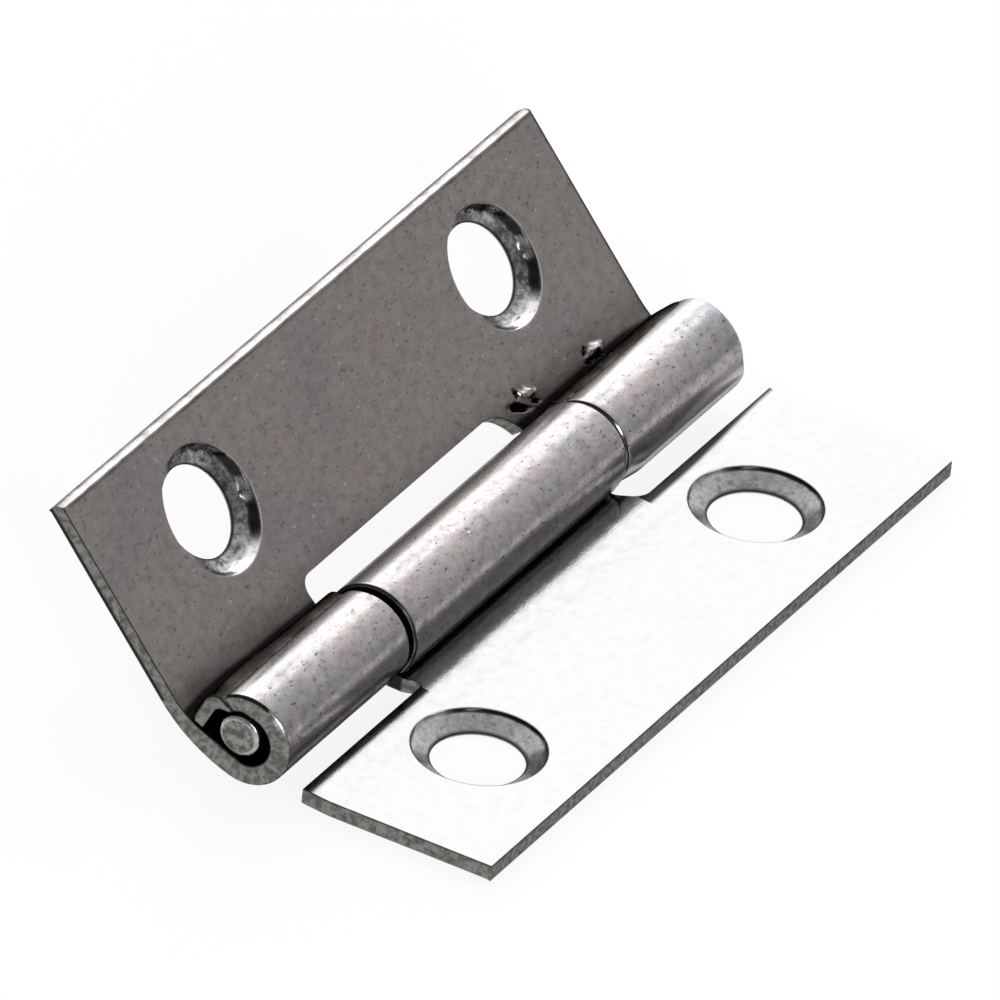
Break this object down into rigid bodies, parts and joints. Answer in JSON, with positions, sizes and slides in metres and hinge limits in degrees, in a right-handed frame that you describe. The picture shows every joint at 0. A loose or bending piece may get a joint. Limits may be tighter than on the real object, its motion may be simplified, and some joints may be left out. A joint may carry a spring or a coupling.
{
  "type": "butt hinge",
  "caption": "Narrow butt hinge for furniture doors and lids: pressed sheet leaves with rolled knuckles on a wire pin, with countersunk screw holes.",
  "frame": {"origin": "middle between the fixed leaf's screw holes, on that leaf's back face", "axes": "+Y runs along the pin, +Z is out of the fixed leaf's inner face, and -X points from the holes to the pin"},
  "size_m": [0.0283, 0.0507, 0.0131],
  "materials": {
    "leaf_steel": "satin bare steel with fine specks and handling marks",
    "pin_steel": "drawn steel wire, cut and bevelled at its ends"
  },
  "bodies": {
    "fixed": {"fixed_leaf": "leaf_steel"},
    "raised": {"raised_leaf": "leaf_steel", "hinge_pin": "pin_steel"}
  },
  "joints": [
    {"name": "leaf_hinge", "type": "hinge", "parent": "fixed", "child": "raised", "pos_m": [-0.0088, 0, 0.0031], "axis": [0, 1, 0], "range_deg": [-112, 148]}
  ]
}
